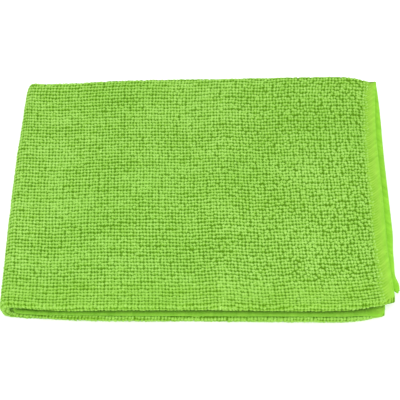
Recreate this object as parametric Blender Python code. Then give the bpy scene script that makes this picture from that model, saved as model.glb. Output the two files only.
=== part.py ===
"""Microfibre cloth, folded flat.

A square of terry knit with a narrow sewn hem all round. It is folded along its length into three
lengths, a short flap tucked between the two long ones, and then in half across, with the half fold
on the left. Six layers lie on each other: top length, flap and bottom length of the upper half, then
the same three of the lower half the other way up.

Frame: +X to the right, towards the hems; +Y to the back; +Z up; the underside rests on Z = 0.
The cloth is described by two distances on the flat cloth. "across" runs from the half fold, positive
in the upper half and negative in the lower one. "along" runs from the flap's edge to the other edge.
"level" is a height above or below the plane between the two halves, before they are laid down.
"""
import math
from collections import namedtuple

import bmesh
import bpy

MM = 0.001

# The cloth as it is cut and sewn
CLOTH_SIDE = 400 * MM
LAYER = 2.05 * MM
GAP = 0.35 * MM
HEM = 5.5 * MM
HEM_THINNING = 0.4 * MM
HEM_STEP = 0.4 * MM
EDGE_ROUND = 0.8 * MM
EDGE_BLUNT = 0.45
RIM_STEP = 0.3
CORNER_RADIUS = 3.0 * MM

# The folds
PITCH = LAYER + GAP
TURN = PITCH / 2
HALF = CLOTH_SIDE / 2
BEND = 11 * MM
FOLD_SLACK = 2 * MM
FOLD_SQUARENESS = 3.0
FLAP_LEVEL = 1.5 * PITCH
TOP_LEVEL = 2.5 * PITCH
BOTTOM_LEVEL = 0.5 * PITCH
FLAP_EDGE = 2 * MM
FLAP_SKEW = 4 * MM
SETTLE_START = 1.5 * MM
SETTLE_RUN = 62 * MM

# How the stack is pressed and how it sags
PRESSED_SHARE = 0.07
PRESSED_START = -62 * MM
PRESSED_RUN = 18 * MM
LOWER_EDGE_X = 95.6 * MM
OVERHANG = 8 * MM
OVERHANG_DROOP = 0.9 * MM

# The outline of each fold. "across" is where on the cloth, "nose" the front fold's foremost point,
# "tail" the back fold's rearmost point and "hem" the free front edge, all in millimetres.
Outline = namedtuple("Outline", "across nose tail hem")
OUTLINE = (
    Outline(across=-200, nose=-78.4, tail=77.5, hem=-79.7),
    Outline(across=-195, nose=-79.5, tail=79.0, hem=-79.9),
    Outline(across=-188, nose=-81.0, tail=80.0, hem=-80.0),
    Outline(across=-178, nose=-81.8, tail=80.5, hem=-80.4),
    Outline(across=-150, nose=-81.7, tail=80.2, hem=-80.3),
    Outline(across=-104, nose=-81.2, tail=79.3, hem=-80.1),
    Outline(across=-62, nose=-81.2, tail=78.3, hem=-79.8),
    Outline(across=-33, nose=-80.2, tail=77.5, hem=-79.5),
    Outline(across=-16, nose=-79.1, tail=76.5, hem=-78.9),
    Outline(across=-6, nose=-78.3, tail=76.3, hem=-77.4),
    Outline(across=2, nose=-78.1, tail=76.6, hem=-76.4),
    Outline(across=16, nose=-79.0, tail=76.5, hem=-75.8),
    Outline(across=33, nose=-80.3, tail=77.2, hem=-75.6),
    Outline(across=62, nose=-80.2, tail=79.3, hem=-75.3),
    Outline(across=104, nose=-80.0, tail=80.0, hem=-73.9),
    Outline(across=150, nose=-80.6, tail=81.3, hem=-70.7),
    Outline(across=178, nose=-80.1, tail=81.8, hem=-68.5),
    Outline(across=188, nose=-78.5, tail=80.8, hem=-64.6),
    Outline(across=195, nose=-77.2, tail=78.5, hem=-63.4),
    Outline(across=200, nose=-75.8, tail=79.2, hem=-69.2),
)

# Where the sewn side edges end up, as an X in millimetres for each distance along the cloth
SideEdge = namedtuple("SideEdge", "along upper lower")
SIDE_EDGES = (
    SideEdge(along=0, upper=98.3, lower=94.7),
    SideEdge(along=40, upper=98.2, lower=95.0),
    SideEdge(along=78, upper=98.8, lower=94.3),
    SideEdge(along=95, upper=98.0, lower=94.5),
    SideEdge(along=112, upper=97.3, lower=94.8),
    SideEdge(along=140, upper=97.7, lower=95.0),
    SideEdge(along=175, upper=97.8, lower=95.0),
    SideEdge(along=205, upper=98.7, lower=94.8),
    SideEdge(along=234, upper=100.8, lower=94.5),
    SideEdge(along=245, upper=102.2, lower=94.5),
    SideEdge(along=270, upper=102.5, lower=94.8),
    SideEdge(along=295, upper=102.0, lower=95.0),
    SideEdge(along=315, upper=101.8, lower=95.0),
    SideEdge(along=350, upper=102.0, lower=95.0),
    SideEdge(along=362, upper=102.0, lower=94.8),
    SideEdge(along=372, upper=101.3, lower=94.8),
    SideEdge(along=382, upper=101.1, lower=94.5),
    SideEdge(along=390, upper=101.0, lower=94.5),
    SideEdge(along=396, upper=102.5, lower=94.5),
    SideEdge(along=400, upper=102.5, lower=94.3),
)

# The half fold seen from above, in millimetres
FoldEdge = namedtuple("FoldEdge", "y x")
FOLD_EDGE = (
    FoldEdge(y=-82, x=-103.0),
    FoldEdge(y=-76, x=-102.7),
    FoldEdge(y=-66, x=-102.5),
    FoldEdge(y=-30, x=-102.5),
    FoldEdge(y=0, x=-102.2),
    FoldEdge(y=21, x=-101.9),
    FoldEdge(y=43, x=-101.3),
    FoldEdge(y=62, x=-100.8),
    FoldEdge(y=72, x=-100.2),
    FoldEdge(y=82, x=-98.8),
)

# Soft hollows and swells of the stack: centre and radius in millimetres, share of the height
Swell = namedtuple("Swell", "x y radius share")
SWELLS = (
    Swell(x=43, y=16, radius=9, share=-0.035),
    Swell(x=72, y=30, radius=24, share=-0.020),
    Swell(x=-70, y=52, radius=26, share=-0.018),
    Swell(x=-12, y=6, radius=30, share=0.020),
    Swell(x=-58, y=-28, radius=28, share=0.016),
    Swell(x=58, y=-34, radius=26, share=0.018),
    Swell(x=84, y=-58, radius=20, share=-0.022),
    Swell(x=-88, y=-62, radius=18, share=-0.020),
    Swell(x=12, y=54, radius=24, share=0.018),
)

# Mesh steps
SIDE_STEPS = 14
SIDE_CROWDING = 1.35
BEND_STEPS = 12
FLAP_STEPS = 5
TURN_STEPS = 8
TOP_STEPS = 15
BOTTOM_STEPS = 9

COLOUR = (0.235, 0.520, 0.050, 1.0)
ROUGHNESS = 0.95

# A point of the folded section: distance along the cloth, place in the section, and the direction
# of the face that is outermost on the folded stack
SectionPoint = namedtuple("SectionPoint", "along y level out_y out_level")


def smooth(share):
    """0 to 1 with level ends."""
    share = min(max(share, 0.0), 1.0)
    return share * share * (3 - 2 * share)


def read_table(rows, key, column, at):
    """Value of a table's column at a place, on a smooth curve through its rows, in metres."""
    at = at / MM
    keys = [getattr(row, key) for row in rows]
    values = [getattr(row, column) for row in rows]
    last = len(rows) - 1
    at = min(max(at, keys[0]), keys[last])
    i = max(k for k in range(last) if keys[k] <= at)

    def slope(k):
        low, high = max(k - 1, 0), min(k + 1, last)
        return (values[high] - values[low]) / (keys[high] - keys[low])

    width = keys[i + 1] - keys[i]
    t = (at - keys[i]) / width
    start = (1 + 2 * t) * (1 - t) ** 2 * values[i] + t * (1 - t) ** 2 * width * slope(i)
    end = t * t * (3 - 2 * t) * values[i + 1] + t * t * (t - 1) * width * slope(i + 1)
    return (start + end) * MM


def outline(across, column):
    """Y of one of the folds' outlines at a distance from the half fold."""
    return read_table(OUTLINE, "across", column, across)


def flap_edge(across):
    """Y of the flap's free edge, the same in both halves, a little askew."""
    return FLAP_EDGE - FLAP_SKEW * abs(across) / HALF


def top_level(across, y):
    """Level of the outermost length, which settles by one layer behind the flap."""
    behind = y - flap_edge(across) - SETTLE_START
    return TOP_LEVEL - PITCH * smooth(behind / SETTLE_RUN)


def corner_cut(across):
    """How far a free edge draws back at the cloth's rounded corner."""
    inside = HALF - abs(across)
    if inside >= CORNER_RADIUS:
        return 0.0
    reach = CORNER_RADIUS - inside
    return CORNER_RADIUS - math.sqrt(CORNER_RADIUS ** 2 - reach ** 2)


def half_fold_x(across, y, level):
    """X of the half fold's centre line: inner layers stop short of the outer one."""
    outer_level = top_level(across, y) + LAYER / 2
    slack = FOLD_SLACK * (1 - level / outer_level) ** 2
    return read_table(FOLD_EDGE, "y", "x", y) + outer_level + slack


def squared(turn):
    """How far a layer reaches at an angle of the half fold, whose section is a little squared."""
    total = abs(math.cos(turn)) ** FOLD_SQUARENESS + abs(math.sin(turn)) ** FOLD_SQUARENESS
    return total ** (-1 / FOLD_SQUARENESS)


def fluff(x, y):
    """Share by which the stack is pressed or swells at a place."""
    share = 1 - PRESSED_SHARE * smooth((PRESSED_START - y) / PRESSED_RUN)
    for swell in SWELLS:
        distance = math.hypot(x / MM - swell.x, y / MM - swell.y) / swell.radius
        share += swell.share * math.exp(-distance ** 2)
    return share


def place(across, along, y, level):
    """Where a point of the section goes once the cloth is folded in half and laid down."""
    fold_x = half_fold_x(across, y, level)
    if abs(across) >= BEND:
        side = "upper" if across > 0 else "lower"
        edge_x = read_table(SIDE_EDGES, "along", side, along)
        x = fold_x + (abs(across) - BEND) / (HALF - BEND) * (edge_x - fold_x)
        lift = math.copysign(level, across)
    else:
        turn = math.pi / 2 * across / BEND
        reach = level * squared(turn)
        x = fold_x - reach * math.cos(turn)
        lift = reach * math.sin(turn)
    z = (top_level(across, y) + LAYER / 2 + lift) * fluff(x, y)
    if across > 0:
        z -= OVERHANG_DROOP * smooth((x - LOWER_EDGE_X) / OVERHANG)
    return (x, y, z)


def edge_steps(length, steps, crowding=1.0):
    """Distances from a free edge: close together over its rounding and hem, then wider apart."""
    near = [0.0, RIM_STEP * EDGE_ROUND, EDGE_ROUND, HEM - HEM_STEP, HEM + HEM_STEP]
    far = length - near[-1]
    return near + [near[-1] + far * (k / steps) ** crowding for k in range(1, steps + 1)]


def arc(centre_y, centre_level, sweep, along):
    """Points on a round turn from one length into the next, without its two ends."""
    points = []
    for k in range(1, TURN_STEPS):
        angle = sweep[0] + (sweep[1] - sweep[0]) * k / TURN_STEPS
        out_y, out_level = math.cos(angle), math.sin(angle)
        run = along + math.pi * TURN * k / TURN_STEPS
        points.append(SectionPoint(run, centre_y + TURN * out_y, centre_level + TURN * out_level,
                                   out_y, out_level))
    return points


def section(across):
    """Middle line of the folded section: flap, front turn, top length, back turn, bottom length."""
    front = outline(across, "nose") + TURN + LAYER / 2
    back = outline(across, "tail") - TURN - LAYER / 2
    flap = flap_edge(across) - corner_cut(across)
    hem = outline(across, "hem") + corner_cut(across)

    points = []
    for step in edge_steps(flap - front, FLAP_STEPS):
        points.append(SectionPoint(step, flap - step, FLAP_LEVEL, 0, -1))
    along = flap - front
    points += arc(front, FLAP_LEVEL + TURN, (-math.pi / 2, -3 * math.pi / 2), along)
    along += math.pi * TURN
    for k in range(TOP_STEPS + 1):
        y = front + (back - front) * k / TOP_STEPS
        points.append(SectionPoint(along + y - front, y, top_level(across, y), 0, 1))
    along += back - front
    points += arc(back, BOTTOM_LEVEL + TURN, (math.pi / 2, -math.pi / 2), along)
    along += math.pi * TURN
    for step in reversed(edge_steps(back - hem, BOTTOM_STEPS)):
        points.append(SectionPoint(along + back - hem - step, hem + step, BOTTOM_LEVEL, 0, -1))
    return points


def thickness(across, point, length):
    """Half thicknesses on the outer and the inner face, less at the hem and its rounded rim."""
    inside = min(HALF - abs(across), point.along, length - point.along)
    outer = inner = LAYER / 2
    if inside < HEM:
        inner -= HEM_THINNING
    rim = min(inside / EDGE_ROUND, 1.0)
    rounding = EDGE_BLUNT + (1 - EDGE_BLUNT) * math.sqrt(1 - (1 - rim) ** 2)
    return outer * rounding, inner * rounding


def loop_at(across):
    """The two faces of the cloth at one distance from the half fold, as lists of points."""
    points = section(across)
    length = points[-1].along
    outer_face, inner_face = [], []
    for point in points:
        outer, inner = thickness(across, point, length)
        scale = CLOTH_SIDE / length
        for face, reach in ((outer_face, outer), (inner_face, -inner)):
            y = point.y + reach * point.out_y
            level = point.level + reach * point.out_level
            face.append(place(across, point.along * scale, y, level))
    return outer_face, inner_face


def stations():
    """Distances from the half fold, from the upper half's side edge to the lower half's."""
    side = [HALF - step for step in edge_steps(HALF - BEND, SIDE_STEPS, SIDE_CROWDING)]
    bend = [BEND - 2 * BEND * k / BEND_STEPS for k in range(1, BEND_STEPS)]
    return side + bend + [-across for across in reversed(side)]


def make_material():
    """Matt bright green knit."""
    material = bpy.data.materials.new("terry_knit")
    material.use_nodes = True
    shader = material.node_tree.nodes["Principled BSDF"]
    shader.inputs["Base Color"].default_value = COLOUR
    shader.inputs["Roughness"].default_value = ROUGHNESS
    shader.inputs["Metallic"].default_value = 0.0
    material.diffuse_color = COLOUR
    return material


def make_cloth():
    """The folded cloth as one closed sheet with two faces and a rounded rim."""
    bm = bmesh.new()
    loops = []
    for across in stations():
        outer_face, inner_face = loop_at(across)
        outer = [bm.verts.new(point) for point in outer_face]
        inner = [bm.verts.new(point) for point in inner_face]
        loops.append((outer, inner))

    for (outer_a, inner_a), (outer_b, inner_b) in zip(loops, loops[1:]):
        ring_a = outer_a + inner_a[::-1]
        ring_b = outer_b + inner_b[::-1]
        for k in range(len(ring_a)):
            following = (k + 1) % len(ring_a)
            bm.faces.new((ring_a[k], ring_a[following], ring_b[following], ring_b[k]))
    for outer, inner in (loops[0], loops[-1]):
        for k in range(len(outer) - 1):
            bm.faces.new((outer[k], outer[k + 1], inner[k + 1], inner[k]))

    bmesh.ops.recalc_face_normals(bm, faces=bm.faces)
    mesh = bpy.data.meshes.new("cloth")
    bm.to_mesh(mesh)
    bm.free()
    mesh.materials.append(make_material())
    mesh.shade_smooth()
    cloth = bpy.data.objects.new("cloth", mesh)
    bpy.context.collection.objects.link(cloth)
    return cloth


for existing in list(bpy.data.objects):
    bpy.data.objects.remove(existing, do_unlink=True)
make_cloth()
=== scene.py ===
"""Microfibre cloth, folded: the visible cloth, its finishes and the studio around it.

Everything is made on the flat cloth and then folded. A point of the flat cloth has three coordinates in
metres. "across" runs from the half fold, positive in the upper half and negative in the lower one.
"along" runs from the flap's edge to the other edge. "height" is the distance from the middle of the
sheet, positive on the face that ends up outermost on the folded stack. FoldPlan.fold() turns such points
into points of the scene: +X to the right, towards the hems, +Y to the back, +Z up.
"""
import logging
import math
from dataclasses import dataclass, field
from enum import Enum
from typing import ClassVar

import bpy
import numpy as np
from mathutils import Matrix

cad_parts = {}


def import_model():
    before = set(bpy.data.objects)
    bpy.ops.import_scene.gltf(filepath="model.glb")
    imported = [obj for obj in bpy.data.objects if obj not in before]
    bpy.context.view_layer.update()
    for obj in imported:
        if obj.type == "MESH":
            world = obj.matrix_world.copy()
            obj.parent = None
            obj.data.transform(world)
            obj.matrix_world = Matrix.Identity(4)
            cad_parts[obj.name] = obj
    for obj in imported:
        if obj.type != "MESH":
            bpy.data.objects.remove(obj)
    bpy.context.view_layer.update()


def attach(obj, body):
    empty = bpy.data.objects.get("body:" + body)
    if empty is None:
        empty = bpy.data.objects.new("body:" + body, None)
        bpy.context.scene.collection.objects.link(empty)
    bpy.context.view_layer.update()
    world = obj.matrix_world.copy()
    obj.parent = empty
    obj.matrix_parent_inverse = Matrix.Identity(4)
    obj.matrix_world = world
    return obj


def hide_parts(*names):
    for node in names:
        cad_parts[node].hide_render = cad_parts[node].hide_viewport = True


MM = 0.001
BODY = "root"
NODE = "cloth"
BAKE_MAP = "OFBake"
FLAT_MAP = "flat_cloth"
WAVE_PERIOD = 0.314

Array = np.ndarray
Socket = bpy.types.NodeSocket
Colour = tuple[float, float, float, float]
Faces = list[tuple[int, ...]]

WHITE = (1.0, 1.0, 1.0, 1.0)

log = logging.getLogger("cloth")


# ---- small tools


def smooth(share: Array) -> Array:
    """A share that is cut to 0..1 and eased, so that it has level ends."""
    share = np.clip(share, 0.0, 1.0)
    return share * share * (3.0 - 2.0 * share)


@dataclass(frozen=True)
class Ramp:
    """An eased rise from 0 to 1 over a run, which goes down from the start where it is negative."""

    start: float
    run: float

    def at(self, place: Array) -> Array:
        """Height of the ramp at a place."""
        return smooth((place - self.start) / self.run)


def squared(angle: Array, power: float) -> Array:
    """Reach of a round form at an angle, squarer with a power over 2 and pointed with one under 2."""
    total = np.abs(np.cos(angle)) ** power + np.abs(np.sin(angle)) ** power
    return total ** (-1 / power)


class Table:
    """Named columns of numbers in millimetres, with smooth curves through them along the first one."""

    def __init__(self, names: str, *rows: tuple[float, ...]) -> None:
        """Keeps each column under its name."""
        self.columns = dict(zip(names.split(), np.array(rows, float).T))

    def at(self, place: Array, name: str) -> Array:
        """Value of a column's curve, whose slope at each row comes from the rows beside it.

        Args:
            place: values of the first column, in metres.
            name: the column.

        Returns:
            The column's values there, in metres.
        """
        keys, values = next(iter(self.columns.values())), self.columns[name]
        far_keys, far_values = np.pad(keys, 1, mode="edge"), np.pad(values, 1, mode="edge")
        slopes = (far_values[2:] - far_values[:-2]) / (far_keys[2:] - far_keys[:-2])
        place = np.clip(place / MM, keys[0], keys[-1])
        i = np.clip(np.searchsorted(keys, place, side="right") - 1, 0, len(keys) - 2)
        width = keys[i + 1] - keys[i]
        t = (place - keys[i]) / width
        start = (1 + 2 * t) * values[i] + t * width * slopes[i]
        end = (3 - 2 * t) * values[i + 1] - (1 - t) * width * slopes[i + 1]
        return ((1 - t) ** 2 * start + t * t * end) * MM


def squares(index: Array) -> Array:
    """Corners of the squares between neighbours in a grid of point numbers, or in a stack of grids."""
    near, far = index[..., :-1, :], index[..., 1:, :]
    return np.stack([near[..., :-1], near[..., 1:], far[..., 1:], far[..., :-1]], axis=-1).reshape(-1, 4)


class Unevenness:
    """Seeded smooth noise from -1 to 1 on an endless grid whose steps are 1."""

    GRID = 512

    def __init__(self, seed: int) -> None:
        """Draws the values at the grid's corners, from a seed."""
        self.corners = np.random.default_rng(seed).uniform(-1, 1, (self.GRID, self.GRID))

    def at(self, u: Array, v: Array) -> Array:
        """Value at places given in grid steps.

        Args:
            u: first coordinate.
            v: second coordinate. Whole numbers give rows that don't depend on each other.

        Returns:
            The noise there.
        """
        whole_u = np.floor(u).astype(int)
        whole_v = np.floor(v).astype(int)
        share_u = smooth(u - whole_u)
        share_v = smooth(v - whole_v)

        def corner(du: int, dv: int) -> Array:
            """The drawn values some corners further on."""
            return self.corners[(whole_u + du) % self.GRID, (whole_v + dv) % self.GRID]

        near = corner(0, 0) * (1 - share_u) + corner(1, 0) * share_u
        far = corner(0, 1) * (1 - share_u) + corner(1, 1) * share_u
        return near * (1 - share_v) + far * share_v


# ---- the folds


# Y of the folds' noses and of the lowest edge, by the distance from the half fold.
OUTLINE = Table(
    "across nose tail hem",
    (-200, -78.4, 77.5, -79.7), (-195, -79.5, 79.0, -79.9), (-188, -81.0, 80.0, -80.0),
    (-178, -81.8, 80.5, -80.4), (-150, -81.7, 80.2, -80.3), (-104, -81.2, 79.3, -80.1),
    (-62, -81.2, 78.3, -79.8), (-33, -80.2, 77.5, -79.5), (-16, -79.1, 76.5, -78.9),
    (-6, -78.3, 76.3, -77.4), (2, -78.1, 76.6, -76.4), (16, -79.0, 76.5, -75.8),
    (33, -80.3, 77.2, -75.6), (62, -80.2, 79.3, -75.3), (104, -80.0, 80.0, -73.9),
    (150, -80.6, 81.3, -70.7), (178, -80.1, 81.8, -68.5), (188, -78.5, 80.8, -64.6),
    (195, -77.2, 78.5, -63.4), (200, -75.8, 79.2, -69.2),
)

# X of the sewn side edges of both halves, by the distance along the cloth.
SIDE_EDGES = Table(
    "along upper lower",
    (0, 98.3, 94.7), (40, 98.2, 95.0), (78, 98.8, 94.3), (95, 98.0, 94.5), (112, 97.3, 94.8),
    (140, 97.7, 95.0), (175, 97.8, 95.0), (205, 98.7, 94.8), (234, 100.8, 94.5), (245, 102.2, 94.5),
    (270, 102.5, 94.8), (295, 102.0, 95.0), (315, 101.8, 95.0), (350, 102.0, 95.0),
    (362, 102.0, 94.8), (372, 101.3, 94.8), (382, 101.1, 94.5), (390, 101.0, 94.5),
    (396, 102.5, 94.5), (400, 102.5, 94.3),
)

# X of the half fold seen from above, by Y.
FOLD_EDGE = Table(
    "y x",
    (-82, -103.0), (-76, -102.7), (-66, -102.5), (-30, -102.5), (0, -102.2), (21, -101.9),
    (43, -101.3), (62, -100.8), (72, -100.2), (82, -98.8),
)

# Soft swells of the stack: X, Y and radius in millimetres, and a share, negative in a hollow.
SWELLS = (
    (43, 16, 9, -0.035), (72, 30, 24, -0.02), (-70, 52, 26, -0.018), (-12, 6, 30, 0.02),
    (-58, -28, 28, 0.016), (58, -34, 26, 0.018), (84, -58, 20, -0.022), (-88, -62, 18, -0.02),
    (12, 54, 24, 0.018),
)

# The knit, by the distance behind the front fold: how far the rows of puffs are apart, how far the columns
# drift to the hem's side by the half fold and by the hem, and how far the pile covers the hem.
KNIT_ROWS = Table(
    "run pitch drift_fold drift_hem cover",
    (-30, 2.1, 2.86, 4.15, 0.5), (-7, 1.55, 2.86, 4.15, 0.8), (-2, 1.4, 2.86, 4.15, 1.2),
    (2, 1.6, 2.86, 4.1, 1.6), (10, 2.05, 2.76, 3.45, 1.9), (22, 2.0, 2.5, 2.58, 1.5),
    (43, 2.16, 1.69, 1.16, 0.8), (64, 2.13, 0.73, 0.33, 0.4), (86, 2.23, 0, 0, 0.3),
    (108, 2.46, -0.57, -0.28, 0.9), (132, 2.4, -1.77, -0.72, 1.9), (152, 2.3, -3.27, -1.2, 2.2),
    (158, 1.6, -3.27, -1.2, 2.2), (164, 2.1, -3.27, -1.2, 1.0), (190, 2.1, -3.27, -1.2, 0.5),
)

# How far back the rows bend, by the distance from the half fold.
ROW_WAVES = Table(
    "across bend",
    (-200, 0.6), (-160, -0.4), (-115, 0.5), (-70, -0.2), (-30, 0.2), (0, 0.0), (24, -0.7),
    (43, -0.2), (62, 0.1), (80, 0.0), (98, -0.35), (117, 0.75), (136, -0.2), (155, 0.8), (172, 0.5),
    (196, 1.4),
)


@dataclass(frozen=True)
class FoldPlan:
    """How the flat cloth is folded: in three along its length, and then in half across."""

    ENDS: ClassVar[tuple[str, ...]] = ("flap_end", "front_end", "top_end", "back_end", "length")

    side: float = 400 * MM
    layer: float = 2.05 * MM
    hem_width: float = 5.5 * MM
    gap: float = 0.35 * MM
    corner_radius: float = 3.0 * MM
    bend: float = 11 * MM
    fold_slack: float = 2 * MM
    fold_squareness: float = 3.0
    flap_edge: float = 2 * MM
    flap_skew: float = 4 * MM
    settle: Ramp = Ramp(1.5 * MM, 62 * MM)
    pressed: Ramp = Ramp(-62 * MM, -18 * MM)
    pressed_share: float = 0.07
    overhang: Ramp = Ramp(95.6 * MM, 8 * MM)
    overhang_droop: float = 0.9 * MM

    @property
    def half(self) -> float:
        """Distance from the half fold to a side edge."""
        return self.side / 2

    @property
    def pitch(self) -> float:
        """Height from one layer to the next."""
        return self.layer + self.gap

    @property
    def turn(self) -> float:
        """Radius of a fold's middle line."""
        return self.pitch / 2

    def flap_line(self, across: Array) -> Array:
        """Y of the flap's free edge, a little askew."""
        return self.flap_edge - self.flap_skew * np.abs(across) / self.half

    def top_level(self, across: Array, y: Array) -> Array:
        """Level of the outermost length, which settles by one layer behind the flap."""
        return self.pitch * (2.5 - self.settle.at(y - self.flap_line(across)))

    def corner_cut(self, across: Array) -> Array:
        """How far a free edge draws back at the cloth's rounded corner.

        Args:
            across: distances from the half fold.

        Returns:
            The distance for each place, 0 away from the corner.
        """
        inside = np.clip(self.half - np.abs(across), 0.0, self.corner_radius)
        reach = self.corner_radius - inside
        return self.corner_radius - np.sqrt(self.corner_radius**2 - reach**2)

    def runs(self, across: Array) -> dict[str, Array]:
        """Where the section's folds are at one distance from the half fold.

        Args:
            across: distances from the half fold.

        Returns:
            The Y of the front and back folds and of the flap's edge, and the distances along the section
            at which its five parts end.
        """
        at = {
            "front": OUTLINE.at(across, "nose") + self.turn + self.layer / 2,
            "back": OUTLINE.at(across, "tail") - self.turn - self.layer / 2,
            "flap": self.flap_line(across) - self.corner_cut(across),
        }
        at["flap_end"] = at["flap"] - at["front"]
        at["front_end"] = at["flap_end"] + math.pi * self.turn
        at["top_end"] = at["front_end"] + at["back"] - at["front"]
        at["back_end"] = at["top_end"] + math.pi * self.turn
        hem = OUTLINE.at(across, "hem") + self.corner_cut(across)
        at["length"] = at["back_end"] + at["back"] - hem
        return at

    def breaks(self, across: Array) -> list[Array]:
        """The ends of the section's five parts as distances along the flat cloth.

        Args:
            across: distances from the half fold.

        Returns:
            Six arrays: where the first part starts and where each part ends.
        """
        runs = self.runs(across)
        ends = [runs[name] * self.side / runs["length"] for name in self.ENDS]
        return [np.zeros_like(ends[0])] + ends

    def section(self, across: Array, along: Array) -> tuple[Array, Array, Array, Array]:
        """Middle line of the folded section.

        Args:
            across: distances from the half fold.
            along: distances along the flat cloth.

        Returns:
            Y and level of the line there, and the direction of the outermost face in both.
        """
        at = self.runs(across)
        run = along * at["length"] / self.side
        top_y = at["front"] + run - at["front_end"]

        def turned(start: float, end: str, fold: str, level: float) -> tuple[Array, ...]:
            """A fold's turn from an angle, behind the end of the part before it.

            Args:
                start: the angle at which the turn starts.
                end: the name of the end of the part before it.
                fold: the name of the fold's Y.
                level: the level of the fold's middle.

            Returns:
                Y and level of the middle line, and the direction of the outermost face in both.
            """
            angle = start - (run - at[end]) / self.turn
            cos, sin = np.cos(angle), np.sin(angle)
            return at[fold] + self.turn * cos, level + self.turn * sin, cos, sin

        parts = (
            (at["flap"] - run, 1.5 * self.pitch, 0.0, -1.0),
            turned(-math.pi / 2, "flap_end", "front", 2 * self.pitch),
            (top_y, self.top_level(across, top_y), 0.0, 1.0),
            turned(math.pi / 2, "top_end", "back", self.pitch),
            (at["back"] - (run - at["back_end"]), 0.5 * self.pitch, 0.0, -1.0),
        )
        before = [run < at[name] for name in self.ENDS[:-1]]
        y, level, out_y, out_level = (np.select(before, part[:-1], part[-1]) for part in zip(*parts))
        return y, level, out_y, out_level

    def half_fold_x(self, across: Array, y: Array, level: Array) -> Array:
        """X of the half fold's centre line: inner layers stop short of the outer one.

        Args:
            across: distances from the half fold.
            y: the places' Y.
            level: their level, counted from the middle of the stack.

        Returns:
            The X for each place.
        """
        outer_level = self.top_level(across, y) + self.layer / 2
        slack = self.fold_slack * (1 - level / outer_level) ** 2
        return FOLD_EDGE.at(y, "x") + outer_level + slack

    def fluff(self, x: Array, y: Array) -> Array:
        """Share by which the stack is pressed or swells at a place.

        Args:
            x: the places' X.
            y: their Y.

        Returns:
            What the height there is multiplied by.
        """
        share = 1 - self.pressed_share * self.pressed.at(y)
        for middle_x, middle_y, radius, swell in SWELLS:
            distance = np.hypot(x / MM - middle_x, y / MM - middle_y) / radius
            share = share + swell * np.exp(-(distance**2))
        return share

    def fold(self, across: Array, along: Array, height: Array) -> Array:
        """Folds points of the flat cloth.

        Args:
            across: distances from the half fold.
            along: distances along the cloth.
            height: distances from the middle of the sheet.

        Returns:
            An array of places with X, Y and Z in its last axis.
        """
        y, level, out_y, out_level = self.section(across, along)
        y, level = y + height * out_y, level + height * out_level
        fold_x = self.half_fold_x(across, y, level)
        edge_x = np.where(across > 0, SIDE_EDGES.at(along, "upper"), SIDE_EDGES.at(along, "lower"))
        share = (np.abs(across) - self.bend) / (self.half - self.bend)
        turn = np.clip(across / self.bend, -1.0, 1.0) * math.pi / 2
        in_bend = np.abs(across) < self.bend
        reach = level * squared(turn, self.fold_squareness)
        x = np.where(in_bend, fold_x - reach * np.cos(turn), fold_x + share * (edge_x - fold_x))
        z = self.top_level(across, y) + self.layer / 2 + reach * np.sin(turn)
        z = z * self.fluff(x, y)
        droop = self.overhang_droop * self.overhang.at(x)
        z = z - np.where(across > 0, droop, 0.0)
        return np.stack([x, y, z], axis=-1)


# ---- meshes


@dataclass
class FlatMesh:
    """A mesh on the flat cloth: its points there, its faces and what its finish reads from it.

    The layout gives each point its place in the bake map, or each corner of each face.
    """

    across: Array
    along: Array
    height: Array
    faces: list[Array]
    layout: Array
    values: dict[str, Array] = field(default_factory=dict)

    def folded(self, name: str, plan: FoldPlan, lowest: float) -> bpy.types.Object:
        """Folds the mesh and makes an object of it.

        Args:
            name: the object's name.
            plan: how the cloth is folded.
            lowest: the least Z of a point, where the cloth rests.

        Returns:
            The new object, at the origin, with its UV maps and attributes.
        """
        places = plan.fold(self.across, self.along, self.height)
        places[:, 2] = np.maximum(places[:, 2], lowest)
        mesh = bpy.data.meshes.new(name)
        faces = [face for block in self.faces for face in block.tolist()]
        mesh.from_pydata(places.tolist(), [], faces)
        self._add_map(mesh, FLAT_MAP, np.stack([self.across, self.along], axis=1))
        self._add_map(mesh, BAKE_MAP, self.layout)
        for key, values in self.values.items():
            attribute = mesh.attributes.new(key, "FLOAT", "POINT")
            attribute.data.foreach_set("value", values.astype(np.float32))
        mesh.shade_smooth()
        made = bpy.data.objects.new(name, mesh)
        bpy.context.scene.collection.objects.link(made)
        return made

    @staticmethod
    def _add_map(mesh: bpy.types.Mesh, name: str, places: Array) -> None:
        """Adds a UV map from a place for each vertex or for each corner of the faces.

        Args:
            mesh: the mesh that gets it.
            name: the map's name.
            places: the places, U and V in each row.
        """
        if len(places) == len(mesh.vertices):
            vertex = np.empty(len(mesh.loops), np.int32)
            mesh.loops.foreach_get("vertex_index", vertex)
            places = places[vertex]
        layer = mesh.uv_layers.new(name=name)
        layer.uv.foreach_set("vector", places.astype(np.float32).ravel())


def repeated(faces: Faces, points: int, copies: int) -> list[Array]:
    """Faces of many copies of one small mesh, joined.

    Args:
        faces: the faces of one copy.
        points: the number of points of one copy.
        copies: how many copies there are.

    Returns:
        One array for each number of corners.
    """
    blocks = []
    for corners in sorted({len(face) for face in faces}):
        block = np.array([face for face in faces if len(face) == corners])
        shift = points * np.arange(copies)[:, None, None]
        blocks.append((block[None] + shift).reshape(-1, corners))
    return blocks


# ---- finishes


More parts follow.
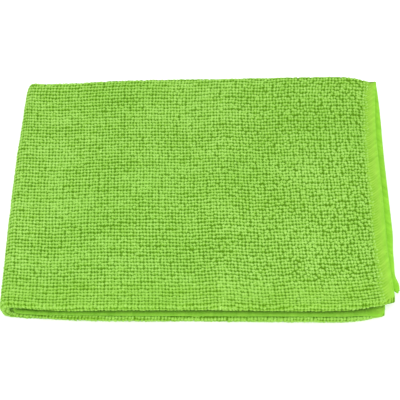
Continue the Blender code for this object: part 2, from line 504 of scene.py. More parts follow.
class NodeBench:
    """Lays out the nodes of one material."""

    def __init__(self, name: str) -> None:
        """Starts a material with its Principled shader.

        Args:
            name: the material's name.
        """
        self.material = bpy.data.materials.new(name)
        self.material.use_nodes = True
        self.tree = self.material.node_tree
        self.shader = self.tree.nodes["Principled BSDF"]

    def node(self, kind: str, **settings: object) -> bpy.types.Node:
        """Adds a node.

        Args:
            kind: the node's type.
            settings: its properties, or its inputs where a name matches one, with _ for a space.

        Returns:
            The node.
        """
        made = self.tree.nodes.new(kind)
        for key, value in settings.items():
            if hasattr(made, key):
                setattr(made, key, value)
            else:
                made.inputs[key.replace("_", " ")].default_value = value
        return made

    def value(self, name: str) -> Socket:
        """A number that the mesh holds for each point."""
        return self.node("ShaderNodeAttribute", attribute_name=name).outputs["Fac"]

    def feed(self, value: object, target: Socket) -> None:
        """Gives an input an output, or a number or colour of its own.

        Args:
            value: the output, number or colour.
            target: the input.
        """
        if isinstance(value, Socket):
            self.tree.links.new(value, target)
        else:
            target.default_value = value

    def maths(self, operation: str, first: object, second: object) -> Socket:
        """The result of a sum of two numbers or outputs.

        Args:
            operation: the kind of sum.
            first: its first number or output.
            second: its second one.

        Returns:
            The node's output.
        """
        made = self.node("ShaderNodeMath", operation=operation)
        for socket, value in zip(made.inputs, (first, second)):
            self.feed(value, socket)
        return made.outputs[0]

    def blend(self, share: object, low: object, high: object, blend_type: str = "MIX") -> Socket:
        """A colour between two colours or outputs, by a share.

        Args:
            share: a number or output, 0 for the low colour and 1 for the high one.
            low: the colour or output at 0.
            high: the colour or output at 1.
            blend_type: how the second is laid over the first.

        Returns:
            The node's colour.
        """
        made = self.node("ShaderNodeMix", data_type="RGBA", blend_type=blend_type)
        colours = [socket for socket in made.inputs if socket.type == "RGBA"]
        self.feed(share, made.inputs["Factor"])
        for socket, value in zip(colours, (low, high)):
            self.feed(value, socket)
        return next(socket for socket in made.outputs if socket.type == "RGBA")

    def noise(self, scale: float, detail: float = 2.0) -> Socket:
        """Noise on the object's own coordinates, from 0 to 1.

        Args:
            scale: how many of its waves go into a metre.
            detail: how many finer layers it has.

        Returns:
            The node's value.
        """
        places = self.node("ShaderNodeTexCoord")
        made = self.node("ShaderNodeTexNoise", Scale=scale, Detail=detail)
        self.feed(places.outputs["Object"], made.inputs["Vector"])
        return made.outputs["Fac"]

    def spread(self, value: Socket, low: float, high: float) -> Socket:
        """A value stretched so that low gives 0 and high gives 1, and cut there.

        Args:
            value: the output to stretch.
            low: its value at 0.
            high: its value at 1.

        Returns:
            The stretched value.
        """
        made = self.node("ShaderNodeMapRange", clamp=True, From_Min=low, From_Max=high)
        self.feed(value, made.inputs["Value"])
        return made.outputs["Result"]

    def bump(self, height: Socket, distance: float) -> None:
        """Raises the surface by a height of that many metres.

        Args:
            height: the output that gives the form, from 0 to 1.
            distance: the height of a 1, in metres.
        """
        made = self.node("ShaderNodeBump", Distance=distance)
        self.feed(height, made.inputs["Height"])
        self.feed(made.outputs["Normal"], self.shader.inputs["Normal"])

    def tinted(self, colour: Socket, share: Socket, low: Colour, high: Colour) -> Socket:
        """A colour multiplied by one between two others, by a share."""
        return self.blend(1.0, colour, self.blend(share, low, high), "MULTIPLY")

    def surface(self, **settings: object) -> bpy.types.Material:
        """Feeds the shader's own inputs, named with _ for a space, and gives the material.

        Args:
            settings: a number, colour or output for each input.

        Returns:
            The material.
        """
        for name, value in settings.items():
            self.feed(value, self.shader.inputs[name.replace("_", " ")])
        return self.material


@dataclass(frozen=True)
class TerryFinish:
    """Puffs of split microfibre, coloured by a painted tone: olive green as painted shade at their roots
    and between them, light yellow-green as painted light at their tips.
    """

    # The root, body and tip colours are painted shade and painted light, picked by the painted tone; the
    # worn colour is the lighter tips of worn puffs.
    root: Colour = (0.106, 0.318, 0.003, 1.0)
    body: Colour = (0.225, 0.485, 0.030, 1.0)
    tip: Colour = (0.345, 0.640, 0.100, 1.0)
    worn: Colour = (0.440, 0.750, 0.180, 1.0)
    root_shade_tone: float = 0.10
    worn_shade_tone: float = 0.35
    body_shade_tone: float = 0.74
    patch: float = 45 * MM
    dull_patch: Colour = (0.91, 0.955, 0.85, 1.0)
    fresh_patch: Colour = WHITE
    fibre: float = 0.65 * MM
    fibre_dark: Colour = (0.66, 0.76, 0.50, 1.0)
    fibre_light: Colour = (1.20, 1.14, 1.36, 1.0)
    fuzz_scale: float = 5200.0
    fuzz_height: float = 0.12 * MM
    roughness: float = 0.95
    specular: float = 0.15
    sheen: float = 0.08
    sheen_roughness: float = 0.5
    sheen_tint: Colour = (0.60, 0.85, 0.20, 1.0)

    def material(self) -> bpy.types.Material:
        """Makes the material.

        Returns:
            The new material.
        """
        bench = NodeBench("terry_pile")
        # The rise attribute is the puffs' painted tone: painted shade near 0, painted light near 1.
        rise = bench.value("rise")
        colour = bench.blend(bench.spread(rise, self.root_shade_tone, self.body_shade_tone), self.root, self.body)
        colour = bench.blend(bench.spread(rise, self.body_shade_tone, 1.0), colour, self.tip)
        tuft = bench.maths("MULTIPLY", bench.value("tuft"), bench.spread(rise, self.worn_shade_tone, 1.0))
        colour = bench.blend(tuft, colour, self.worn)
        fibres = bench.spread(bench.noise(1.0 / self.fibre, detail=1.0), 0.25, 0.75)
        colour = bench.tinted(colour, fibres, self.fibre_dark, self.fibre_light)
        patches = bench.spread(bench.noise(1.0 / self.patch), 0.35, 0.65)
        colour = bench.tinted(colour, patches, self.dull_patch, self.fresh_patch)
        bench.bump(bench.noise(self.fuzz_scale, detail=3.0), self.fuzz_height)
        return bench.surface(
            Base_Color=colour, Roughness=self.roughness, Specular_IOR_Level=self.specular,
            Sheen_Weight=self.sheen, Sheen_Roughness=self.sheen_roughness, Sheen_Tint=self.sheen_tint)


@dataclass(frozen=True)
class KnitFinish:
    """The knitted ground between the puffs: fine rows of stitches, painted deep green as shade between the
    puffs, their raised stitches painted lighter.
    """

    # Both colours are painted: the deep one is shade between the puffs, the lit one light on the stitches'
    # tops.
    deep: Colour = (0.080, 0.210, 0.003, 1.0)
    lit: Colour = (0.150, 0.370, 0.008, 1.0)
    stitch: float = 0.85 * MM
    stitch_height: float = 0.2 * MM
    distortion: float = 1.2
    roughness: float = 0.95
    specular: float = 0.15

    def material(self) -> bpy.types.Material:
        """Makes the material.

        Returns:
            The new material.
        """
        bench = NodeBench("ground_knit")
        flat = bench.node("ShaderNodeUVMap", uv_map=FLAT_MAP)
        waves = []
        for direction in ("X", "Y"):
            wave = bench.node("ShaderNodeTexWave", bands_direction=direction,
                              Distortion=self.distortion, Scale=WAVE_PERIOD / self.stitch)
            bench.feed(flat.outputs["UV"], wave.inputs["Vector"])
            waves.append(wave.outputs["Fac"])
        knit = bench.maths("MULTIPLY", *waves)
        bench.bump(knit, self.stitch_height)
        return bench.surface(Base_Color=bench.blend(knit, self.deep, self.lit), Roughness=self.roughness,
                             Specular_IOR_Level=self.specular)


@dataclass(frozen=True)
class ThreadFinish:
    """Overlock thread: soft yellow-green over the outer face, a purer green round the edge and under it."""

    outer: Colour = (0.322, 0.610, 0.064, 1.0)
    inner: Colour = (0.285, 0.655, 0.041, 1.0)
    # Painted shade on the threads of the flap and front edges, which lie under the folds.
    fold_edge_shade: Colour = (0.175, 0.355, 0.050, 1.0)
    # A painted highlight where the threads of the side edges wrap round.
    rim: Colour = (0.420, 0.740, 0.130, 1.0)
    shaded: Colour = (0.170, 0.420, 0.012, 1.0)
    # A deeper painted shade for the threads that lie far in between the folds.
    tucked: Colour = (0.085, 0.250, 0.001, 1.0)
    plain_thread: Colour = WHITE
    dull_thread: Colour = (0.84, 0.89, 0.78, 1.0)
    groove_share: float = 0.80
    patch_scale: float = 220.0
    ply: float = 0.35 * MM
    ply_height: float = 0.06 * MM
    roughness: float = 0.75
    specular: float = 0.10

    def material(self) -> bpy.types.Material:
        """Makes the material.

        Returns:
            The new material.
        """
        bench = NodeBench("overlock_thread")
        colour = bench.blend(bench.value("face"), self.inner, self.outer)
        groove = bench.maths("MULTIPLY", bench.value("groove"), self.groove_share)
        # Painted shade on the flap and front edges, a painted highlight round the side edges, painted shade
        # in the grooves between threads and deeper painted shade between the folds.
        for share, over in ((bench.value("flat"), self.fold_edge_shade), (bench.value("rim"), self.rim),
                            (groove, self.shaded), (bench.value("tucked"), self.tucked)):
            colour = bench.blend(share, colour, over)
        patches = bench.spread(bench.noise(self.patch_scale), 0.3, 0.7)
        for share in (patches, bench.value("tone")):
            colour = bench.tinted(colour, share, self.dull_thread, self.plain_thread)
        bench.bump(bench.noise(1.0 / self.ply), self.ply_height)
        return bench.surface(Base_Color=colour, Roughness=self.roughness, Specular_IOR_Level=self.specular)


@dataclass(frozen=True)
class FloorFinish:
    """Plain white studio floor."""

    colour: Colour = (0.93, 0.93, 0.93, 1.0)
    roughness: float = 0.9
    glow: float = 0.25

    def material(self) -> bpy.types.Material:
        """Makes the material.

        Returns:
            The new material.
        """
        return NodeBench("studio_floor").surface(
            Base_Color=self.colour, Roughness=self.roughness,
            Emission_Color=self.colour, Emission_Strength=self.glow)


# ---- the cloth


@dataclass
class GroundKnit:
    """The knitted sheet that carries the pile, with its thinner hem all round."""

    plan: FoldPlan
    finish: KnitFinish = KnitFinish()
    thickness: float = 1.2 * MM
    hem_outer: float = 0.80 * MM
    hem_inner: float = 0.45 * MM
    hem_step: float = 0.6 * MM
    rim: float = 0.5 * MM
    rim_step: float = 0.3
    rim_share: float = 0.3
    lowest: float = 0.02 * MM
    side_steps: int = 64
    bend_steps: int = 20
    part_steps: tuple[int, ...] = (26, 10, 54, 10, 50)
    face_size: tuple[float, float] = (0.49, 0.97)
    outer_corner: tuple[float, float] = (0.005, 0.02)
    inner_corner: tuple[float, float] = (0.505, 0.02)
    wall_strip: tuple[float, ...] = (0.004, 0.012, 0.012, 0.004)

    def edge_steps(self) -> Array:
        """Distances inside an edge at which the hem's form needs points."""
        width, step, rim = self.plan.hem_width, self.hem_step, self.rim
        return np.array([0.0, self.rim_step * rim, rim, width - step, width + step])

    def stations(self) -> Array:
        """Distances from the half fold, from the upper half's side edge to the lower half's.

        Returns:
            The distances, falling from half the cloth's width to minus that.
        """
        half, bend, edge = self.plan.half, self.plan.bend, self.edge_steps()
        far = np.linspace(half - edge[-1], bend, self.side_steps)
        side = np.concatenate([half - edge[:-1], far])
        middle = np.linspace(bend, -bend, self.bend_steps + 1)[1:-1]
        return np.concatenate([side, middle, -side[::-1]])

    def distances(self, across: Array) -> Array:
        """Distances along the cloth for each station, closer together on the folds.

        Args:
            across: the stations.

        Returns:
            A row of distances for each station.
        """
        breaks, edge, side = self.plan.breaks(across), self.edge_steps(), self.plan.side
        steps = []
        for start, end, count in zip(breaks, breaks[1:], self.part_steps):
            share = np.linspace(0, 1, count + 1)[:-1]
            steps.append(start[:, None] + (end - start)[:, None] * share)
        grid = np.concatenate(steps, axis=1)
        ends, first, last = len(edge), self.part_steps[0], self.part_steps[-1]
        grid[:, :ends] = edge
        grid[:, ends:first] = np.linspace(edge[-1], breaks[1], first - ends + 2, axis=1)[:, 1:-1]
        grid[:, -last:-ends] = np.linspace(breaks[4], side - edge[-1], last - ends + 1, axis=1)[:, :-1]
        grid[:, -ends:] = side - edge[::-1]
        return grid

    def faces_at(self, inside: Array) -> tuple[Array, Array]:
        """Heights of the outer and inner face.

        Args:
            inside: distances inside the nearest edge.

        Returns:
            The heights there, rounded off at the rim.
        """
        hem = 1 - smooth((inside - self.plan.hem_width + self.hem_step) / (2 * self.hem_step))
        outer = self.thickness / 2 + hem * (self.hem_outer - self.thickness / 2)
        inner = self.thickness / 2 + hem * (self.hem_inner - self.thickness / 2)
        middle = (outer - inner) / 2
        rim = np.clip(inside / self.rim, 0.0, 1.0)
        rounding = self.rim_share + (1 - self.rim_share) * np.sqrt(1 - (1 - rim) ** 2)
        return middle + (outer - middle) * rounding, middle - (inner + middle) * rounding

    def build(self) -> bpy.types.Object:
        """Builds the folded sheet as one closed mesh.

        Returns:
            The new piece.
        """
        stations = self.stations()
        along = self.distances(stations)
        across = np.broadcast_to(stations[:, None], along.shape)
        side = self.plan.side
        outer, inner = self.faces_at(
            np.minimum(self.plan.half - np.abs(across), np.minimum(along, side - along)))
        count = along.size
        index = np.arange(count).reshape(along.shape)
        square = squares(index)
        around = np.concatenate([index[0, :-1], index[:-1, -1], index[-1, :0:-1], index[:0:-1, 0]])
        following = np.roll(around, -1)
        wall = np.stack([around, around + count, following + count, following], axis=-1)
        flat = np.stack([across / side + 0.5, along / side], axis=-1).reshape(-1, 2) * self.face_size
        flat = np.concatenate([
            flat[square.ravel()] + self.outer_corner, flat[square[:, ::-1].ravel()] + self.inner_corner])
        run = (np.arange(len(around))[:, None] + (0, 0, 1, 1)) / len(around)
        strip = np.stack([run, np.broadcast_to(self.wall_strip, run.shape)], axis=-1)
        return FlatMesh(
            across=np.tile(across.ravel(), 2),
            along=np.tile(along.ravel(), 2),
            height=np.concatenate([outer.ravel(), inner.ravel()]),
            faces=[square, square[:, ::-1] + count, wall],
            layout=np.concatenate([flat, strip.reshape(-1, 2)]),
        ).folded("cloth_ground", self.plan, self.lowest)

    def dress(self, piece: bpy.types.Object) -> None:
        """Gives the sheet its finish and its place in the frame.

        Args:
            piece: the folded sheet.
        """
        piece.data.materials.append(self.finish.material())
        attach(piece, BODY)
        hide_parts(NODE)


class PileZone(Enum):
    """The parts of the outer face with the pile that shows, each a piece of its own.

    Each has its piece's name, whether it is on the upper half, and where it starts and ends behind the
    front fold.
    """

    TOP_FRONT = ("pile_top_front", True, -math.inf, 47 * MM)
    TOP_MIDDLE = ("pile_top_middle", True, 47 * MM, 110 * MM)
    TOP_BACK = ("pile_top_back", True, 110 * MM, math.inf)
    UNDER_FRONT = ("pile_under_front", False, -math.inf, 79 * MM)
    UNDER_BACK = ("pile_under_back", False, 79 * MM, math.inf)

    def __init__(self, piece: str, upper: bool, start: float, end: float) -> None:
        """Takes the part's name, half and span."""
        self.piece, self.upper, self.start, self.end = piece, upper, start, end


@dataclass(frozen=True)
class PuffGrid:
    """Where a part's puffs grow on the flat cloth, and how close their rows are there."""

    column: Array
    row: Array
    across: Array
    along: Array
    pitch: Array
    edge: Array


@dataclass
class TerryPile:
    """Rows of small puffs of terry over the face that ends up outside.

    A puff's width and depth are shares of the spacing of columns and rows. Its strays, leans and twist are
    spreads of normal draws. Its painted shade and painted light are shares that its tone loses or gains.
    """

    plan: FoldPlan
    finish: TerryFinish = TerryFinish()
    seed: int = 4
    lowest: float = 0.03 * MM
    column_pitch: float = 1.69 * MM
    first_run: float = -14.7 * MM
    last_run: float = 172 * MM
    run_step: float = 0.25 * MM
    follow: float = 0.55
    upper_sides: int = 8
    under_sides: int = 6
    rings: int = 6
    cut: float = 0.01
    root: float = 0.30 * MM
    tip: float = 1.25 * MM
    width: float = 1.54
    depth: float = 1.34
    roundness: float = 1.45
    lump: float = 0.035
    lump_rise: float = 0.05
    hem_press: float = 3.0 * MM
    pressed_height: float = 0.72
    stray_across: float = 0.11 * MM
    stray_along: float = 0.10 * MM
    lean_across: float = 0.10 * MM
    lean_along: float = 0.12 * MM
    twist: float = 0.16
    wander_run: float = 5 * MM
    wander_across: float = 0.22 * MM
    wander_along: float = 0.20 * MM
    sway: float = 0.2 * MM
    sway_across: tuple[float, float] = (19 * MM, 15 * MM)
    sway_along: tuple[float, float] = (17 * MM, 13 * MM)
    matt_across: float = 9 * MM
    matt_along: float = 6 * MM
    dash: float = 2.6 * MM
    dash_opening: Ramp = Ramp(0.35, 0.6)
    dash_shift: float = 0.14 * MM
    ruffle: Ramp = Ramp(70 * MM, 110 * MM)
    # The next four fields lay out dark patches, where the puffs' painted shade is deeper, their painted
    # light dimmer and their wear less.
    dark_patch_across: float = 9 * MM
    dark_patch_along: float = 4.5 * MM
    dark_patch: float = 0.34
    broad_dark_patch: float = 0.7
    calm: Ramp = Ramp(19, -6)
    calming: float = 0.4
    wear: float = 0.34
    wear_spread: float = 0.08
    # The next four fields set the painted shade at the puffs' corners and fronts and the painted light at
    # their sides.
    corner_painted_shade: float = 1.9
    corner_spread: float = 0.85
    front_painted_shade: float = 0.30
    side_painted_light: float = 0.20
    map_share: float = 0.84

    def puff(self, sides: int) -> tuple[Array, Faces]:
        """Models one puff: a low dome that leaves its corners free, open where it grows from the ground.

        Args:
            sides: corners round the dome.

        Returns:
            Its points, one wide and deep and one high, and its faces as the numbers of their points.
        """
        bpy.ops.object.select_all(action="DESELECT")
        bpy.ops.mesh.primitive_uv_sphere_add(segments=sides, ring_count=self.rings, radius=0.5)
        ball = bpy.context.object
        bpy.ops.object.mode_set(mode="EDIT")
        bpy.ops.mesh.select_all(action="SELECT")
        bpy.ops.mesh.bisect(plane_co=(0, 0, self.cut), plane_no=(0, 0, 1), clear_inner=True)
        bpy.ops.mesh.select_all(action="SELECT")
        bpy.ops.transform.translate(value=(0, 0, -self.cut))
        bpy.ops.transform.resize(value=(1, 1, 1 / (0.5 - self.cut)), center_override=(0, 0, 0))
        bpy.ops.object.mode_set(mode="OBJECT")
        mesh = ball.data
        points = np.array([vertex.co for vertex in mesh.vertices], float)
        faces = [tuple(polygon.vertices) for polygon in mesh.polygons]
        bpy.data.objects.remove(ball)
        bpy.data.meshes.remove(mesh)
        angle = np.arctan2(points[:, 1], points[:, 0])
        reach = np.hypot(points[:, 0], points[:, 1]) * squared(angle, self.roundness)
        points[:, 0] = reach * np.cos(angle)
        points[:, 1] = reach * np.sin(angle)
        return points, faces

    def row_runs(self) -> tuple[Array, Array]:
        """Distances of the rows from the end of the front fold, and how far apart they are there.

        Returns:
            Both for each row, from the front to the back.
        """
        fine = np.arange(self.first_run, self.last_run, self.run_step)
        pitch = KNIT_ROWS.at(fine, "pitch")
        number = np.concatenate([[0.0], np.cumsum(self.run_step / pitch)[:-1]])
        run = np.interp(np.arange(math.floor(number[-1]) + 1), number, fine)
        return run, np.interp(run, fine, pitch)

    def grid(self, zone: PileZone) -> PuffGrid:
        """Lays out a part's puffs.

        Args:
            zone: which part.

        Returns:
            The puffs' numbers and places.
        """
        run, pitch = self.row_runs()
        rows = np.flatnonzero((run >= zone.start) & (run < zone.end))
        reach = math.ceil(self.plan.half / self.column_pitch) + 4
        column, row = np.meshgrid(np.arange(-reach, reach + 1), rows)
        column, row = column.ravel(), row.ravel()
        run, pitch = run[row], pitch[row]
        across = column * self.column_pitch
        near = KNIT_ROWS.at(run, "drift_fold")
        far = KNIT_ROWS.at(run, "drift_hem")
        across = across + near + (far - near) * np.clip(across / self.plan.half, 0, 1)
        edge = self.plan.half - self.plan.hem_width + KNIT_ROWS.at(run, "cover")
        there = (across >= 0) & (across < edge) if zone.upper else (across < 0) & (across > -edge)
        column, row, run, pitch, across, edge = (
            part[there][:, None] for part in (column, row, run, pitch, across, edge))

        at = self.plan.runs(across)
        middle = self.plan.runs(np.array([100 * MM]))
        front, back = middle["front"], middle["back"]
        share = np.clip(run / (back - front), 0, 1)
        bend = (1 - share) * (at["front"] - front) + share * (at["back"] - back)
        y = front + run + self.follow * bend + ROW_WAVES.at(across, "bend")
        along = (at["front_end"] + y - at["front"]) * self.plan.side / at["length"]
        return PuffGrid(column, row, across, along, pitch, edge)

    def build(self, zone: PileZone) -> bpy.types.Object:
        """Builds one part's pile as a joined mesh.

        Args:
            zone: which part.

        Returns:
            The folded pile.
        """
        shape, faces = self.puff(self.upper_sides if zone.upper else self.under_sides)
        grid = self.grid(zone)
        across, along = grid.across, grid.along
        count = len(across)
        draw = np.random.default_rng(self.seed + list(PileZone).index(zone))
        jitter = draw.normal(0, 1, (count, 8)).T[..., None]
        lumps = draw.normal(0, self.lump, (count,) + shape.shape)
        wear = self.wear + self.wear_spread * draw.normal(0, 1, (count, 1))

        wander, matted, dashes, dark_patches = (Unevenness(self.seed + 20 + extra) for extra in range(4))
        matt = matted.at(across / self.matt_across, along / self.matt_along)
        behind, before = (
            self.dash_opening.at(dashes.at(across / self.dash, grid.row - back)) for back in (0, 1))
        calm = self.calm.at(grid.row)
        calmed = self.calming * calm
        ruffled = self.ruffle.at(np.abs(across)) * (1 - calm)
        # Dark patches deepen the puffs' painted shade and dim their painted light; they also lessen their
        # wear.
        patch_dark = dark_patches.at(across / self.dark_patch_across + 31, along / self.dark_patch_along + 57)
        broad = dark_patches.at(across / (3 * self.dark_patch_across), along / (3 * self.dark_patch_along))
        patch_dark = self.dark_patch * (patch_dark + self.broad_dark_patch * broad)
        shift_across = (
            self.wander_across * wander.at(along / self.wander_run, grid.column + 250)
            + self.sway * wander.at(along / self.sway_across[0] + 130, across / self.sway_across[1] + 9)
            + self.stray_across * (1 + 0.9 * ruffled - calmed) * jitter[0])
        shift_along = (
            self.wander_along * wander.at(across / self.wander_run, grid.row)
            + self.sway * wander.at(across / self.sway_along[0] + 40, along / self.sway_along[1] + 60)
            + self.stray_along * (1 + 1.5 * ruffled - calmed) * jitter[1]
            + self.dash_shift * (before - behind))
        across, along = across + shift_across, along + shift_along
        pressed = smooth((grid.edge - np.abs(across)) / self.hem_press)
        wear = np.clip(wear - 0.20 * (1 - pressed) - 0.20 * patch_dark - 0.30 * calm, 0, 1)

        lumps[:, :, 2] *= shape[:, 2] > self.lump_rise
        x, y, rise = np.moveaxis(shape + lumps, -1, 0)
        x = x * self.column_pitch * self.width * (1 + 0.05 * jitter[2] + 0.04 * matt)
        y = y * grid.pitch * self.depth * (1 + 0.04 * jitter[3] + 0.03 * matt - 0.04 * (before + behind))
        tall = (self.tip - self.root) * (1 + 0.08 * jitter[4] + 0.04 * matt) * (
            self.pressed_height + (1 - self.pressed_height) * pressed)
        cos, sin = np.cos(self.twist * jitter[5]), np.sin(self.twist * jitter[5])
        places = [  # a square of its own for each puff in the bake map
            (number - number.min() + 0.5 + self.map_share * shape[:, side]) / (np.ptp(number) + 1)
            for side, number in enumerate((grid.column, grid.row))]
        return FlatMesh(
            across=(across + x * cos - y * sin + rise * self.lean_across * jitter[6]).ravel(),
            along=(along + x * sin + y * cos + rise * self.lean_along * jitter[7]).ravel(),
            height=(self.root + np.maximum(rise, 0.0) * tall).ravel(),
            faces=repeated(faces, len(shape), count),
            values={
                # The rise values are the painted tone from shade(): painted shade and painted light, not
                # height.
                "rise": self.shade(shape, ruffled, patch_dark, calmed).ravel(),
                "tuft": np.repeat(wear, len(shape)),
            },
            layout=np.stack(places, axis=-1).reshape(-1, 2),
        ).folded(zone.piece, self.plan, self.lowest)

    def shade(self, shape: Array, ruffled: Array, patch_dark: Array, calmed: Array) -> Array:
        """Painted tone of the puffs' points: painted shade at a puff's corners and front, painted light at
        its sides.

        Args:
            shape: the points of one puff.
            ruffled: how ruffled the pile is at each puff.
            patch_dark: how much the dark patches deepen the painted shade and dim the painted light there.
            calmed: how much the calm rows take off there.

        Returns:
            The painted tone of each point of each puff, from 0 to 1.
        """
        side = np.minimum(np.abs(2 * self.width * shape[:, 0]), 1) ** 2
        front = np.minimum(np.abs(2 * self.depth * shape[:, 1]), 1) ** 2
        corner_painted_shade = self.corner_painted_shade * (1 + 0.25 * ruffled + 0.7 * patch_dark - calmed)
        front_painted_shade = self.front_painted_shade * (1 - 0.5 * ruffled + 1.3 * patch_dark - calmed)
        side_painted_light = self.side_painted_light - 0.40 * ruffled - 0.15 * patch_dark
        tone = 1 - corner_painted_shade * (side * front) ** self.corner_spread
        return np.clip(tone - front_painted_shade * front**2 + side_painted_light * side**2, 0, 1)

    def dress(self, piece: bpy.types.Object, material: bpy.types.Material) -> None:
        """Gives a part its finish and its place in the frame.

        Args:
            piece: the part's pile.
            material: the finish, which all the parts share.
        """
        piece.data.materials.append(material)
        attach(piece, BODY)
        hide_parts(NODE)


class HemEdge(Enum):
    """The four edges of the flat cloth."""

    UPPER = 0
    LOWER = 1
    FLAP = 2
    FRONT = 3

    @property
    def on_side(self) -> bool:
        """Whether it is one of the two edges that end up on the right."""
        return self in (HemEdge.UPPER, HemEdge.LOWER)


@dataclass
class OverlockHem:
    """Overlock thread laid side by side over the cloth's edge, all round.

    A thread's path starts under the pile, runs out over the outer face, round the edge and back.
    """

    plan: FoldPlan
    finish: ThreadFinish = ThreadFinish()
    seed: int = 9
    lowest: float = 0.03 * MM
    pitch: float = 1.8 * MM
    width: float = 1.98 * MM
    width_points: int = 5
    outer: float = 0.98 * MM
    inner: float = 0.62 * MM
    over: float = 0.45 * MM
    crown: float = 0.12 * MM
    roundness: float = 0.92
    path_steps: tuple[float, ...] = (0.97, 0.70, 0.40, 0.14)
    path_drops: tuple[float, ...] = (0.30 * MM, 0.10 * MM, 0.0, 0.0, 0.0)
    under_pile: float = 1.6 * MM
    end_room: float = 0.2 * MM
    slant: float = 0.12 * MM
    stray: float = 0.05 * MM
    tooth: float = 0.25 * MM
    lift: float = 0.02 * MM
    face: Ramp = Ramp(0.1 * MM, 1.6 * MM)
    groove: Ramp = Ramp(1.5 * MM, 3 * MM)
    # The next three fields lay a painted highlight where the threads of the side edges wrap round.
    rim: float = 0.4
    rim_highlight_inside: float = 0.1 * MM
    rim_highlight_reach: float = 0.9 * MM
    tone: float = 0.6
    tone_spread: float = 0.35
    # The fields from here to the end paint shade on the threads of the flap and front edges, which lie
    # under the folds.
    flat: float = 0.45
    deep: Ramp = Ramp(0.5 * MM, 1.6 * MM)
    near: Ramp = Ramp(40 * MM, -16 * MM)
    under: Ramp = Ramp(0.0, -0.4 * MM)
    bend_run: float = 3 * MM
    corner: Ramp = Ramp(3 * MM, 9 * MM)

    def path(self) -> tuple[Array, Array]:
        """Distance inside the edge and height of a thread, from the outer face round to the inner.

        Returns:
            Both for each point of the path.
        """
        inside = self.plan.hem_width * np.array((1.0, *self.path_steps))
        inside[0] += self.under_pile
        height = self.outer - np.array(self.path_drops)
        angle = np.linspace(0.5, -0.5, 5)[1:-1] * math.pi
        middle, radius = (self.outer - self.inner) / 2, (self.outer + self.inner) / 2
        rounded = middle + self.roundness * radius * np.sin(angle)
        return (
            np.concatenate([inside, -self.over * np.cos(angle), inside[::-1]]),
            np.concatenate([height, rounded, 2 * middle - height[::-1]]),
        )

    def threads(self, edge: HemEdge) -> FlatMesh:
        """The threads along one edge of the cloth.

        Args:
            edge: which edge.

        Returns:
            Their joined mesh on the flat cloth.
        """
        half, full = self.plan.half, self.plan.side
        count = round(full / self.pitch)
        draw = np.random.default_rng(self.seed + edge.value)
        stray, tooth, lifted, tone = (draw.normal(0, 1, (count, 1, 1)) for _ in range(4))

        inside, height = self.path()
        share = np.linspace(-0.5, 0.5, self.width_points)
        shape = (count, len(inside), len(share))
        thread = np.arange(count)[:, None, None] + 0.5
        slant = self.slant * np.linspace(-1, 1, len(inside))[:, None]
        inside, height = inside[:, None], height[:, None]
        middle = (self.outer - self.inner) / 2
        outside = height > middle
        lane = thread / count * full + self.stray * stray + slant + self.width * share
        lane = np.broadcast_to(np.clip(lane, self.end_room, full - self.end_room), shape)
        reach = np.broadcast_to(inside + self.tooth * tooth * (inside > self.plan.hem_width), shape)
        crown = self.crown * (np.cos(math.pi * share) - 1) * np.sign(height - middle)
        lift = height + crown + self.lift * lifted

        faces = squares(np.arange(lift.size).reshape(shape).swapaxes(1, 2))
        if edge in (HemEdge.LOWER, HemEdge.FRONT):
            faces = faces[:, ::-1]
        if edge.on_side:
            sign = 1.0 if edge is HemEdge.UPPER else -1.0
            across, along = sign * (half - reach), lane
        else:
            across, along = lane - half, reach if edge is HemEdge.FLAP else full - reach

        strip = (edge.value + np.linspace(0.02, 0.98, len(inside))[:, None]) / len(HemEdge)
        layout = np.stack(np.broadcast_arrays(strip, (thread + 0.92 * share) / count), axis=-1)
        # A painted highlight along the wrap of the side edges.
        rim = smooth(1 - np.abs(inside - self.rim_highlight_inside) / self.rim_highlight_reach)
        values = {
            "face": self.face.at(inside) * outside,
            "groove": (2 * share) ** 2 * self.groove.at(inside) * outside,
            "rim": self.rim * rim * edge.on_side,
            "tone": np.clip(self.tone + self.tone_spread * tone, 0, 1),
            # Painted shade on the threads of the flap and front edges, deeper between the folds.
            "flat": (0.0 if edge.on_side else self.flat) * self.before_corner(across),
            "tucked": self.tuck(edge, across, reach, lift),
        }
        values = {key: np.broadcast_to(value, shape).ravel() for key, value in values.items()}
        return FlatMesh(
            across.ravel(), along.ravel(), lift.ravel(), [faces], layout.reshape(-1, 2), values)

    def tuck(self, edge: HemEdge, across: Array, inside: Array, height: Array) -> Array:
        """Painted shade on the threads of the flap and front edges, deeper where they lie between the
        folds, from 0 to 1.

        Args:
            edge: which edge.
            across: distances from the half fold.
            inside: distances inside the edge.
            height: heights above the flat cloth's middle.

        Returns:
            The painted shade's share for each point, most of all by the half fold.
        """
        if edge.on_side:
            return np.zeros(inside.shape)
        near = self.near.at(np.abs(across))
        bend = smooth((self.plan.bend - np.abs(across)) / self.bend_run)
        deep = np.maximum(self.deep.at(inside) * (0.3 + 0.7 * near), near * self.under.at(height))
        return np.maximum(deep * self.before_corner(across), 0.3 * bend) * (1 - 0.7 * bend)

    def before_corner(self, across: Array) -> Array:
        """Share of the painted shade on the flap and front edges that is left, which ends in the round
        corner.
        """
        return self.corner.at(self.plan.half - np.abs(across))

    def build(self) -> bpy.types.Object:
        """Builds the threads of all four edges as one joined mesh.

        Returns:
            The new piece.
        """
        edges = [self.threads(edge) for edge in HemEdge]
        starts = np.cumsum([0] + [len(edge.across) for edge in edges])

        def joined(name: str) -> Array:
            """One array of all four edges."""
            return np.concatenate([getattr(edge, name) for edge in edges])

        return FlatMesh(
            across=joined("across"),
            along=joined("along"),
            height=joined("height"),
            faces=[edge.faces[0] + start for edge, start in zip(edges, starts)],
            values={key: np.concatenate([edge.values[key] for edge in edges]) for key in edges[0].values},
            layout=joined("layout"),
        ).folded("hem_overlock", self.plan, self.lowest)

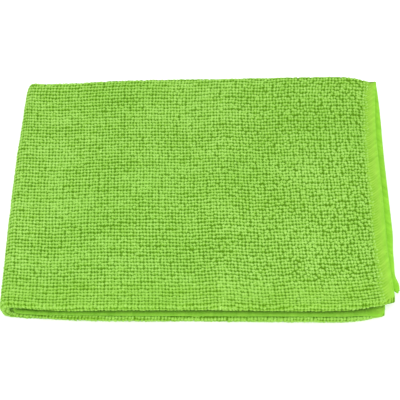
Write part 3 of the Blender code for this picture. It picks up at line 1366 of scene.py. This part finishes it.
    def dress(self, piece: bpy.types.Object) -> None:
        """Gives the hem its finish and its place in the frame.

        Args:
            piece: the folded threads.
        """
        piece.data.materials.append(self.finish.material())
        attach(piece, BODY)
        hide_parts(NODE)


# ---- the studio


@dataclass(frozen=True)
class SoftLight:
    """A large area light that looks at the cloth, placed in degrees and metres."""

    name: str
    azimuth: float
    elevation: float
    distance: float
    size: float
    power: float


@dataclass
class Studio:
    """White floor, soft light and the camera."""

    finish: FloorFinish = FloorFinish()
    floor_size: float = 8.0
    ambient: float = 1.0
    lens: float = 119.34
    camera_elevation: float = 53.0
    camera_distance: float = 0.715
    target: tuple[float, float, float] = (-0.00025, -0.01075, 0.0115)
    lights: tuple[SoftLight, ...] = (
        SoftLight("key_light", azimuth=-12, elevation=66, distance=1.3, size=0.6, power=5.0),
        SoftLight("fill_light", azimuth=60, elevation=45, distance=1.6, size=1.0, power=3.0),
    )

    def build(self) -> None:
        """Sets up the floor, the lights and the camera."""
        bpy.context.scene.view_settings.view_transform = "Standard"
        self._floor()
        self._world()
        for light in self.lights:
            lamp = bpy.data.lights.new(light.name, "AREA")
            lamp.shape = "DISK"
            lamp.size = light.size
            lamp.energy = light.power
            self._hang(lamp, light.azimuth, light.elevation, light.distance)
        lens = bpy.data.cameras.new("camera")
        lens.lens = self.lens
        camera = self._hang(lens, 0.0, self.camera_elevation, self.camera_distance)
        bpy.context.scene.camera = camera

    def _hang(self, data: bpy.types.ID, azimuth: float, elevation: float,
              distance: float) -> bpy.types.Object:
        """Hangs a light or the camera round the target, and turns it to look there.

        Args:
            data: the light or camera.
            azimuth: its angle round the target from the front, in degrees.
            elevation: its angle above the horizon, in degrees.
            distance: its distance from the target.

        Returns:
            The new object.
        """
        turn, rise = math.radians(azimuth), math.radians(elevation)
        made = bpy.data.objects.new(data.name, data)
        made.location = (
            self.target[0] + distance * math.cos(rise) * math.sin(turn),
            self.target[1] - distance * math.cos(rise) * math.cos(turn),
            self.target[2] + distance * math.sin(rise),
        )
        made.rotation_euler = (math.pi / 2 - rise, 0.0, turn)
        bpy.context.scene.collection.objects.link(made)
        return made

    def _floor(self) -> None:
        """Lays the floor under the cloth."""
        bpy.ops.object.select_all(action="DESELECT")
        bpy.ops.mesh.primitive_plane_add(size=self.floor_size)
        floor = bpy.context.object
        floor.name = "floor"
        floor.data.materials.append(self.finish.material())

    def _world(self) -> None:
        """Lights the room evenly."""
        world = bpy.data.worlds.new("studio")
        world.use_nodes = True
        background = world.node_tree.nodes["Background"]
        background.inputs["Color"].default_value = WHITE
        background.inputs["Strength"].default_value = self.ambient
        bpy.context.scene.world = world


def main() -> None:
    """Builds the cloth and the studio in order."""
    logging.basicConfig(level=logging.INFO, format="%(name)s %(message)s")
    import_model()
    bpy.ops.object.select_all(action="DESELECT")

    plan = FoldPlan()
    ground = GroundKnit(plan)
    sheet = ground.build()
    ground.dress(sheet)

    pile = TerryPile(plan)
    terry = pile.finish.material()
    parts = [pile.build(zone) for zone in PileZone]
    for part in parts:
        pile.dress(part, terry)

    overlock = OverlockHem(plan)
    hem = overlock.build()
    overlock.dress(hem)

    for piece in (sheet, *parts, hem):
        log.info("%s: %d faces", piece.name, len(piece.data.polygons))
    Studio().build()


if __name__ == "__main__":
    main()
